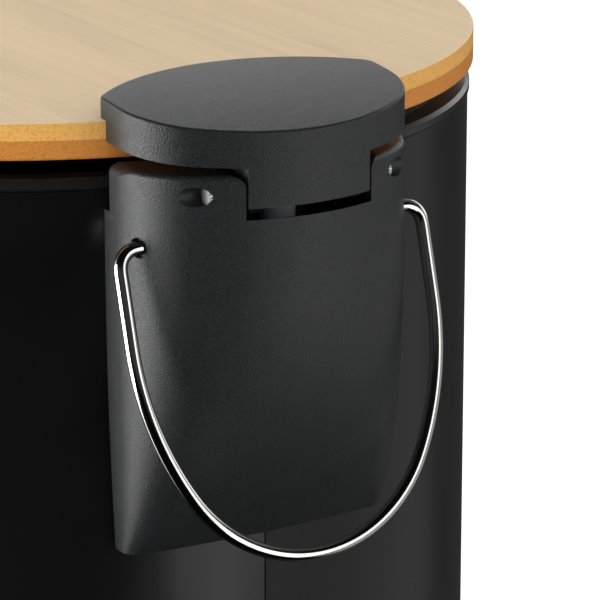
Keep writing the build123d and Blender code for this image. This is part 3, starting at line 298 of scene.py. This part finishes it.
def stoved_enamel(name, colour, seam_x=None):
    """Sheet steel with a stoved black enamel: a clear gloss with a long faint orange-peel ripple. Across the
    shell's lock seam the lap rises by a fraction of a millimetre, so it mirrors another way."""
    material, tree, shader, place = new_material(name, {"Specular IOR Level": 0.42})
    peel = add(tree, "ShaderNodeTexNoise", {"Vector": place, "Scale": 1 / (2.6 * MM), "Detail": 2.0})
    film = add(tree, "ShaderNodeTexNoise", {"Vector": place, "Scale": 1 / (45 * MM), "Detail": 2.0})
    add(tree, "ShaderNodeValToRGB", {"Fac": film}, to=shader.inputs["Base Color"], stops=[
        (0.3, shade(colour, 0.85)), (0.7, shade(colour, 1.15))])
    add(tree, "ShaderNodeMapRange", {"Value": film, "To Min": 0.24, "To Max": 0.34},
        to=shader.inputs["Roughness"])
    height = add(tree, "ShaderNodeMath", {0: peel, 1: 0.012 * MM}, operation="MULTIPLY")
    if seam_x is not None:
        axes = add(tree, "ShaderNodeSeparateXYZ", {"Vector": place})
        lap = add(tree, "ShaderNodeMapRange", {
            "Value": axes.outputs["X"], "From Min": seam_x - SEAM_WIDTH / 2,
            "From Max": seam_x + SEAM_WIDTH / 2, "To Min": 0.0, "To Max": SEAM_RISE})
        rear = add(tree, "ShaderNodeMath", {0: axes.outputs["Y"], 1: 0.0}, operation="GREATER_THAN")
        height = add(tree, "ShaderNodeMath", {0: lap, 1: rear, 2: height}, operation="MULTIPLY_ADD")
    add(tree, "ShaderNodeBump", {"Height": height, "Distance": 1.0}, to=shader.inputs["Normal"])
    return material


def polished_wire(name, colour):
    """Bright drawn wire, polished and nickel plated: a clear mirror with hair-fine draw lines."""
    material, tree, shader, place = new_material(name, {"Metallic": 1.0})
    lines = add(tree, "ShaderNodeTexNoise", {
        "Vector": place, "Scale": 1 / (0.5 * MM), "Detail": 2.0, "Roughness": 0.6})
    add(tree, "ShaderNodeValToRGB", {"Fac": lines}, to=shader.inputs["Base Color"], stops=[
        (0.3, shade(colour, 0.93)), (0.7, colour)])
    add(tree, "ShaderNodeMapRange", {"Value": lines, "To Min": 0.06, "To Max": 0.14},
        to=shader.inputs["Roughness"])
    return material


def worked_steel(name, colour, roughness, size):
    """Plated or turned steel: a soft metallic sheen with a mottled plating."""
    material, tree, shader, place = new_material(name, {"Metallic": 1.0})
    mottle = add(tree, "ShaderNodeTexNoise", {
        "Vector": place, "Scale": 1 / size, "Detail": 3.0, "Roughness": 0.6})
    add(tree, "ShaderNodeValToRGB", {"Fac": mottle}, to=shader.inputs["Base Color"], stops=[
        (0.3, shade(colour, 0.82)), (0.7, shade(colour, 1.06))])
    add(tree, "ShaderNodeMapRange", {"Value": mottle, "To Min": roughness - 0.08, "To Max": roughness + 0.1},
        to=shader.inputs["Roughness"])
    add(tree, "ShaderNodeBump", {"Height": mottle, "Distance": 0.01 * MM, "Strength": 0.5},
        to=shader.inputs["Normal"])
    return material


def moulded_rubber(name, colour):
    """Soft black rubber: dull, with a fine skin."""
    material, tree, shader, place = new_material(name, {"Roughness": 0.78, "Specular IOR Level": 0.3})
    skin = add(tree, "ShaderNodeTexNoise", {
        "Vector": place, "Scale": 1 / (0.7 * MM), "Detail": 3.0, "Roughness": 0.6})
    add(tree, "ShaderNodeValToRGB", {"Fac": skin}, to=shader.inputs["Base Color"], stops=[
        (0.3, shade(colour, 0.8)), (0.7, shade(colour, 1.15))])
    add(tree, "ShaderNodeBump", {"Height": skin, "Distance": 0.03 * MM, "Strength": 0.6},
        to=shader.inputs["Normal"])
    return material


def finishes(scene):
    """One material for each finish, made once."""
    face, edge, core, plastic, enamel = (tuple(getattr(scene.bin_colours, name)) for name in (
        "bamboo_face", "bamboo_edge", "bamboo_core", "plastic", "enamel"))
    return {
        "bamboo_face": bamboo_lacquered_ply("bamboo_ply_lacquered", face, edge, "Y", LID_TOP_Z - 0.35 * MM),
        "bamboo_core": bamboo_lacquered_ply("bamboo_ply_carbonised", core, core, "X", CORE_TOP_Z + MM),
        "moulded_plastic": grained_plastic("pp_spark_grained", plastic, scene.bin_sizes.grain_size),
        # The base's grain is drawn coarser than it is, to show from where the whole bin is seen
        "base_plastic": grained_plastic("pp_base_grained", hex_colour("#1C1C1D"), 0.8 * MM),
        "shell_enamel": stoved_enamel("steel_stoved_enamel", enamel, SEAM_X),
        "pedal_enamel": stoved_enamel("steel_pedal_enamel", enamel),
        "bright_wire": polished_wire("wire_nickel_plated", hex_colour("#D8D8D6")),
        "steel_pin": worked_steel("steel_drawn", hex_colour("#D6D6D2"), 0.42, 0.6 * MM),
        "spring_steel": worked_steel("steel_blued", hex_colour("#8C8C8E"), 0.35, 0.8 * MM),
        "zinc_sheet": worked_steel("steel_zinc_plated", hex_colour("#B8BABD"), 0.38, 3 * MM),
        # Lid bracket: near-black steel, painted shade, so that the drive arm stays as dark inside the hinge's
        # slot as the shade falling there
        "black_zinc_sheet": worked_steel("steel_darkened_as_shade", hex_colour("#2C2C2E"), 0.5, 3 * MM),
        "zinc_screw": worked_steel("steel_screw_zinc", hex_colour("#C4C6C8"), 0.3, 1.2 * MM),
        "damper_plastic": smooth_plastic("acetal_grey", hex_colour("#8E959C"), 0.35, 0.6),
        "rim_plastic": smooth_plastic("abs_black_satin", hex_colour("#161616"), 0.3),
        "bucket_plastic": smooth_plastic("pp_bucket", hex_colour("#2A2B2C"), 0.45),
        # Lifter and rod guide: near-black nylon, painted shade, so that the lifter stays as dark inside the
        # hinge's slot as the shade falling there
        "black_nylon": smooth_plastic("nylon_darkened_as_shade", hex_colour("#161616"), 0.5, 0.3),
        "foot_rubber": moulded_rubber("tpe_foot", hex_colour("#202020")),
        "clear_rubber": moulded_rubber("tpe_bumper", hex_colour("#2A2A2A")),
    }


def dress(names, finish):
    """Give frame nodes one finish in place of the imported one."""
    for name in names:
        NODES[name].data.materials.clear()
        NODES[name].data.materials.append(FINISH[finish])


class BIN_OT_lid(bpy.types.Operator):
    """Dress the two bamboo plies and the fittings under them"""

    bl_idname = "pedal_bin.lid"
    bl_label = "Lid"

    def execute(self, context):
        dress(["lid_top_ply"], "bamboo_face")
        dress(["lid_bottom_ply"], "bamboo_core")
        # The bracket's near-black colour is painted shade for the hinge's slot
        dress(["lid_bracket"], "black_zinc_sheet")
        dress(["lid_screws"], "zinc_screw")
        dress(["lid_bumpers"], "clear_rubber")
        return {"FINISHED"}


class BIN_OT_hinge(bpy.types.Operator):
    """Dress the hinge's cap, housing and pin"""

    bl_idname = "pedal_bin.hinge"
    bl_label = "Hinge"

    def execute(self, context):
        dress(["hinge_cap", "hinge_housing"], "moulded_plastic")
        dress(["hinge_pin"], "steel_pin")
        dress(["housing_screws"], "zinc_screw")
        return {"FINISHED"}


def soft_turn(way, turn):
    """The heading along a path, averaged over a short stretch each side with weights that fall off as a
    parabola, so that one radius runs softly into the next."""
    steps = np.linspace(-1, 1, 25)
    weights = 1 - steps ** 2
    samples = np.stack([np.interp(way + step * HANDLE_SOFTENING, way, turn) for step in steps])
    return (samples * weights[:, None]).sum(0) / weights.sum()


def handle_line(wire, count):
    """The wire's centre line in its own plane, from one end to the other: the heading, which turns at one
    over the radius of each stretch, is summed into places, and the line is then centred between its ends."""
    half_width = HANDLE_REACH - wire / 2
    side = math.radians(HANDLE_SIDE_ANGLE)
    base = (half_width - HANDLE_SIDE_RADIUS * (1 - math.cos(side))) / math.cos(side)
    half = [
        (half_width - HANDLE_BEND - HANDLE_INNER_X, 0), (HANDLE_BEND * math.pi / 2, math.pi / 2),
        (HANDLE_LEG - HANDLE_BEND, 0), (HANDLE_SIDE_RADIUS * side, side)]
    stretches = np.array([(0, 0), *half, (base * (math.pi - 2 * side), math.pi - 2 * side), *half[::-1]])
    lengths, turns = stretches.cumsum(0).T
    way = np.linspace(0, lengths[-1], count)
    heading = soft_turn(way, np.interp(way, lengths, turns))
    heading = (heading - heading[::-1]) / 2
    between = (heading[1:] + heading[:-1]) / 2
    step = way[1] - way[0]
    across = np.concatenate([[0], np.cumsum(np.cos(between)) * step])
    along = np.concatenate([[0], np.cumsum(np.sin(between)) * step])
    return across - across[-1] / 2, along, heading


def handle_rings(wire, rows=640, sides=48, end_rows=8, skipped=2):
    """A round section carried along the wire's line: each ring lies across the line, in the directions of the
    line's normal and of the plane's own normal. At both ends the rings shrink as a quarter circle."""
    across, along, heading = handle_line(wire, rows)
    lean = math.radians(HANDLE_TILT)
    right = np.array([1.0, 0, 0])
    up = np.array([0, -math.sin(lean), math.cos(lean)])
    out = np.cross(right, up)
    centre = np.array([0, PIVOT_Y, PIVOT_Z]) + np.outer(across, right) + np.outer(along, up)
    tangent = np.outer(np.cos(heading), right) + np.outer(np.sin(heading), up)
    normal = np.outer(-np.sin(heading), right) + np.outer(np.cos(heading), up)
    share = np.linspace(1, 0, end_rows)[:, None]
    inward = (1 - share) * HANDLE_END_ROUND
    size = wire / 2 - HANDLE_END_ROUND * (1 - np.sqrt(1 - share ** 2))
    start = centre[0] + inward * tangent[0]
    end = (centre[-1] - inward * tangent[-1])[::-1]
    middle = slice(skipped, -skipped)
    radius = np.concatenate([size, np.full((rows - 2 * skipped, 1), wire / 2), size[::-1]])
    normal = np.concatenate([normal[:1].repeat(end_rows, 0), normal[middle], normal[-1:].repeat(end_rows, 0)])
    centre = np.concatenate([start, centre[middle], end])
    turn = np.linspace(0, 2 * math.pi, sides, endpoint=False)[None, :, None]
    return centre[:, None] + radius[:, None] * (np.cos(turn) * normal[:, None] + np.sin(turn) * out)


def tube_piece(name, rings):
    """A closed piece over rings of points, in a grid of row and turn, with a flat face on each end."""
    rows, sides = rings.shape[:2]
    first = np.arange(rows * sides).reshape(rows, sides)
    after = np.roll(first, -1, 1)
    quads = np.stack([first[:-1], after[:-1], after[1:], first[1:]], -1).reshape(-1, 4)
    ends = [first[0, ::-1].tolist(), first[-1].tolist()]
    mesh = bpy.data.meshes.new(name)
    mesh.from_pydata(rings.reshape(-1, 3).tolist(), [], quads.tolist() + ends)
    mesh.shade_smooth()
    piece = bpy.data.objects.new(name, mesh)
    bpy.context.scene.collection.objects.link(piece)
    return piece


class BIN_OT_handle(bpy.types.Operator):
    """Bend the wire carry handle and dress its retainers"""

    bl_idname = "pedal_bin.handle"
    bl_label = "Carry handle"

    def execute(self, context):
        wire = tube_piece("handle_bail", handle_rings(context.scene.bin_sizes.handle_wire))
        wire.data.materials.append(FINISH["bright_wire"])
        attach(wire, "carry_handle")
        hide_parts("carry_handle")
        dress(["handle_retainers"], "spring_steel")
        return {"FINISHED"}


class BIN_OT_linkage(bpy.types.Operator):
    """Dress the damper, the lifter and the push rod"""

    bl_idname = "pedal_bin.linkage"
    bl_label = "Linkage"

    def execute(self, context):
        dress(["damper_cylinder", "damper_head"], "damper_plastic")
        dress(["damper_rod", "lifter_pin", "push_rod"], "steel_pin")
        # The lifter's near-black colour is painted shade for the hinge's slot
        dress(["lifter", "rod_guide"], "black_nylon")
        dress(["rod_clip"], "spring_steel")
        return {"FINISHED"}


class BIN_OT_body(bpy.types.Operator):
    """Dress the shell, rim, base and inner bucket"""

    bl_idname = "pedal_bin.body"
    bl_label = "Body"

    def execute(self, context):
        dress(["body_shell"], "shell_enamel")
        dress(["top_rim_ring"], "rim_plastic")
        dress(["base_moulding"], "base_plastic")
        dress(["anti_slip_ring"], "foot_rubber")
        dress(["inner_bucket"], "bucket_plastic")
        dress(["bucket_bail"], "bright_wire")
        return {"FINISHED"}


class BIN_OT_pedal(bpy.types.Operator):
    """Dress the pedal, its lever and its bracket"""

    bl_idname = "pedal_bin.pedal"
    bl_label = "Pedal"

    def execute(self, context):
        dress(["pedal_lever", "pedal_bracket"], "zinc_sheet")
        dress(["pedal_pad"], "pedal_enamel")
        dress(["pedal_rivets", "bracket_screws"], "zinc_screw")
        dress(["pedal_pivot_pin"], "steel_pin")
        return {"FINISHED"}


def soft_box(name, bearing, size, radiance):
    """An upright soft light on a bearing round the bin, in degrees from +X, as bright as a radiance."""
    light = bpy.data.lights.new(name, "AREA")
    light.shape = "RECTANGLE"
    light.size, light.size_y = size
    light.energy = radiance * math.pi * size[0] * size[1]
    lamp = bpy.data.objects.new(name, light)
    turn = math.radians(bearing)
    outward = Vector((math.cos(turn), math.sin(turn), 0))
    lamp.location = BOX_MIDDLE + BOX_DISTANCE * outward
    lamp.rotation_euler = (-outward).to_track_quat("-Z", "Z").to_euler()
    lamp.visible_camera = False
    bpy.context.scene.collection.objects.link(lamp)


def paper_floor():
    """Matt white paper: near white where the light is open, with the bin's soft shadow round its foot."""
    material, tree, shader, _ = new_material(
        "paper_white_matt", {"Roughness": 1.0, "Specular IOR Level": 0.0, "Emission Color": grey(1.0)})
    seen = add(tree, "ShaderNodeLightPath").outputs["Is Camera Ray"]
    add(tree, "ShaderNodeMix", {
        MIX_FACTOR: seen, MIX_FIRST: grey(PAPER_UNSEEN), MIX_SECOND: grey(PAPER_SEEN)},
        data_type="RGBA", to=shader.inputs["Base Color"])
    add(tree, "ShaderNodeMath", {0: seen, 1: PAPER_GLOW}, operation="MULTIPLY",
        to=shader.inputs["Emission Strength"])
    return material


def paper_table():
    """A square sheet of paper at the height that the bin stands on, unseen by mirrors."""
    side = np.array([-FLOOR_HALF_SIDE, FLOOR_HALF_SIDE])
    x, y = np.meshgrid(side, side)
    corners = np.stack([x.ravel(), y.ravel(), np.zeros(4)], 1)
    mesh = bpy.data.meshes.new("floor")
    mesh.from_pydata(corners.tolist(), [], [(0, 1, 3, 2)])
    mesh.materials.append(paper_floor())
    floor = bpy.data.objects.new("floor", mesh)
    floor.visible_glossy = False
    floor.visible_shadow = False
    bpy.context.scene.collection.objects.link(floor)


def studio_world():
    """White to the camera and through glass, soft white light for matt surfaces, and for mirrors a white
    background low down beyond the bin, two cards at its sides and a dark room on the camera's side."""
    world = bpy.data.worlds.new("studio")
    world.use_nodes = True
    tree = world.node_tree
    tree.nodes.clear()
    world.cycles.sampling_method = "NONE"
    path = add(tree, "ShaderNodeLightPath")
    way = add(tree, "ShaderNodeTexCoord").outputs["Generated"]
    behind = Vector((CAMERA_AIM.x, CAMERA_AIM.y, 0)).normalized()
    beyond = add(tree, "ShaderNodeVectorMath", {0: way, 1: behind}, operation="DOT_PRODUCT")
    beyond_share = add(tree, "ShaderNodeMath", {0: beyond, 1: 0.5, 2: 0.5}, operation="MULTIPLY_ADD")
    backdrop = add(tree, "ShaderNodeValToRGB", {"Fac": beyond_share}, stops=[
        (place, grey(level)) for place, level in BACKDROP_LEVELS])
    height = add(tree, "ShaderNodeSeparateXYZ", {"Vector": way}).outputs["Z"]
    height_share = add(tree, "ShaderNodeMath", {0: height, 1: 0.5, 2: 0.5}, operation="MULTIPLY_ADD")
    above = add(tree, "ShaderNodeValToRGB", {"Fac": height_share}, stops=[
        (place, grey(level)) for place, level in ABOVE_LEVELS])
    mirrored = add(tree, "ShaderNodeMath", {0: backdrop, 1: above}, operation="MULTIPLY")
    for bearing, reach, level in CARDS:
        turn = math.radians(bearing)
        middle = Vector((math.cos(turn), math.sin(turn), CARD_SLOPE)).normalized()
        near = add(tree, "ShaderNodeVectorMath", {0: way, 1: middle}, operation="DOT_PRODUCT")
        card = add(tree, "ShaderNodeValToRGB", {"Fac": near}, stops=[
            (reach + CARD_FADE[0], grey(0.0)), (reach + CARD_FADE[1], grey(level))])
        mirrored = add(tree, "ShaderNodeMath", {0: mirrored, 1: card}, operation="MAXIMUM")
    seen = add(tree, "ShaderNodeMath", {
        0: path.outputs["Is Camera Ray"], 1: path.outputs["Is Transmission Ray"]}, operation="MAXIMUM")
    soft = add(tree, "ShaderNodeMix", {
        MIX_FACTOR: path.outputs["Is Glossy Ray"], MIX_FIRST: grey(1.0), MIX_SECOND: mirrored},
        data_type="RGBA")
    light = add(tree, "ShaderNodeMix", {
        MIX_FACTOR: seen, MIX_FIRST: soft, MIX_SECOND: grey(1.0)}, data_type="RGBA")
    sky = add(tree, "ShaderNodeBackground", {"Color": light})
    add(tree, "ShaderNodeOutputWorld", {"Surface": sky})
    return world


def photo_camera(lens):
    """The camera at the photograph's place and aim."""
    camera = bpy.data.cameras.new("camera")
    camera.lens = lens
    camera.sensor_width = SENSOR_WIDTH
    camera.clip_start = NEAREST
    viewer = bpy.data.objects.new("camera", camera)
    viewer.location = CAMERA_PLACE
    viewer.rotation_euler = CAMERA_AIM.to_track_quat("-Z", "Y").to_euler()
    bpy.context.scene.collection.objects.link(viewer)
    return viewer


class BIN_OT_stage(bpy.types.Operator):
    """Add the pale floor, the white surround, the soft lights and the camera"""

    bl_idname = "pedal_bin.stage"
    bl_label = "Stage"

    def execute(self, context):
        paper_table()
        for box in SOFT_BOXES:
            soft_box(*box)
        context.scene.world = studio_world()
        context.scene.camera = photo_camera(context.scene.bin_sizes.lens)
        context.scene.view_settings.view_transform = "Standard"
        return {"FINISHED"}


OPERATORS = (BIN_OT_lid, BIN_OT_hinge, BIN_OT_handle, BIN_OT_linkage, BIN_OT_body, BIN_OT_pedal, BIN_OT_stage)


class BIN_PT_panel(bpy.types.Panel):
    """Sizes, colours and pieces of the pedal bin"""

    bl_idname = "BIN_PT_panel"
    bl_label = "Pedal bin"
    bl_space_type = "VIEW_3D"
    bl_region_type = "UI"
    bl_category = "Pedal bin"

    def draw(self, context):
        for group in (context.scene.bin_sizes, context.scene.bin_colours):
            for name in group.__annotations__:
                self.layout.prop(group, name)
        for operator in OPERATORS:
            self.layout.operator(operator.bl_idname)


CLASSES = (BinSizes, BinColours, *OPERATORS, BIN_PT_panel)


def register():
    """Register the classes and hang the settings on the scene."""
    for each in CLASSES:
        bpy.utils.register_class(each)
    bpy.types.Scene.bin_sizes = bpy.props.PointerProperty(type=BinSizes)
    bpy.types.Scene.bin_colours = bpy.props.PointerProperty(type=BinColours)


def unregister():
    """Undo register."""
    del bpy.types.Scene.bin_sizes
    del bpy.types.Scene.bin_colours
    for each in reversed(CLASSES):
        bpy.utils.unregister_class(each)


def main():
    """Register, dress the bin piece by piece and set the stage."""
    register()
    FINISH.update(finishes(bpy.context.scene))
    for operator in OPERATORS:
        group, action = operator.bl_idname.split(".")
        getattr(getattr(bpy.ops, group), action)()


if __name__ == "__main__":
    main()
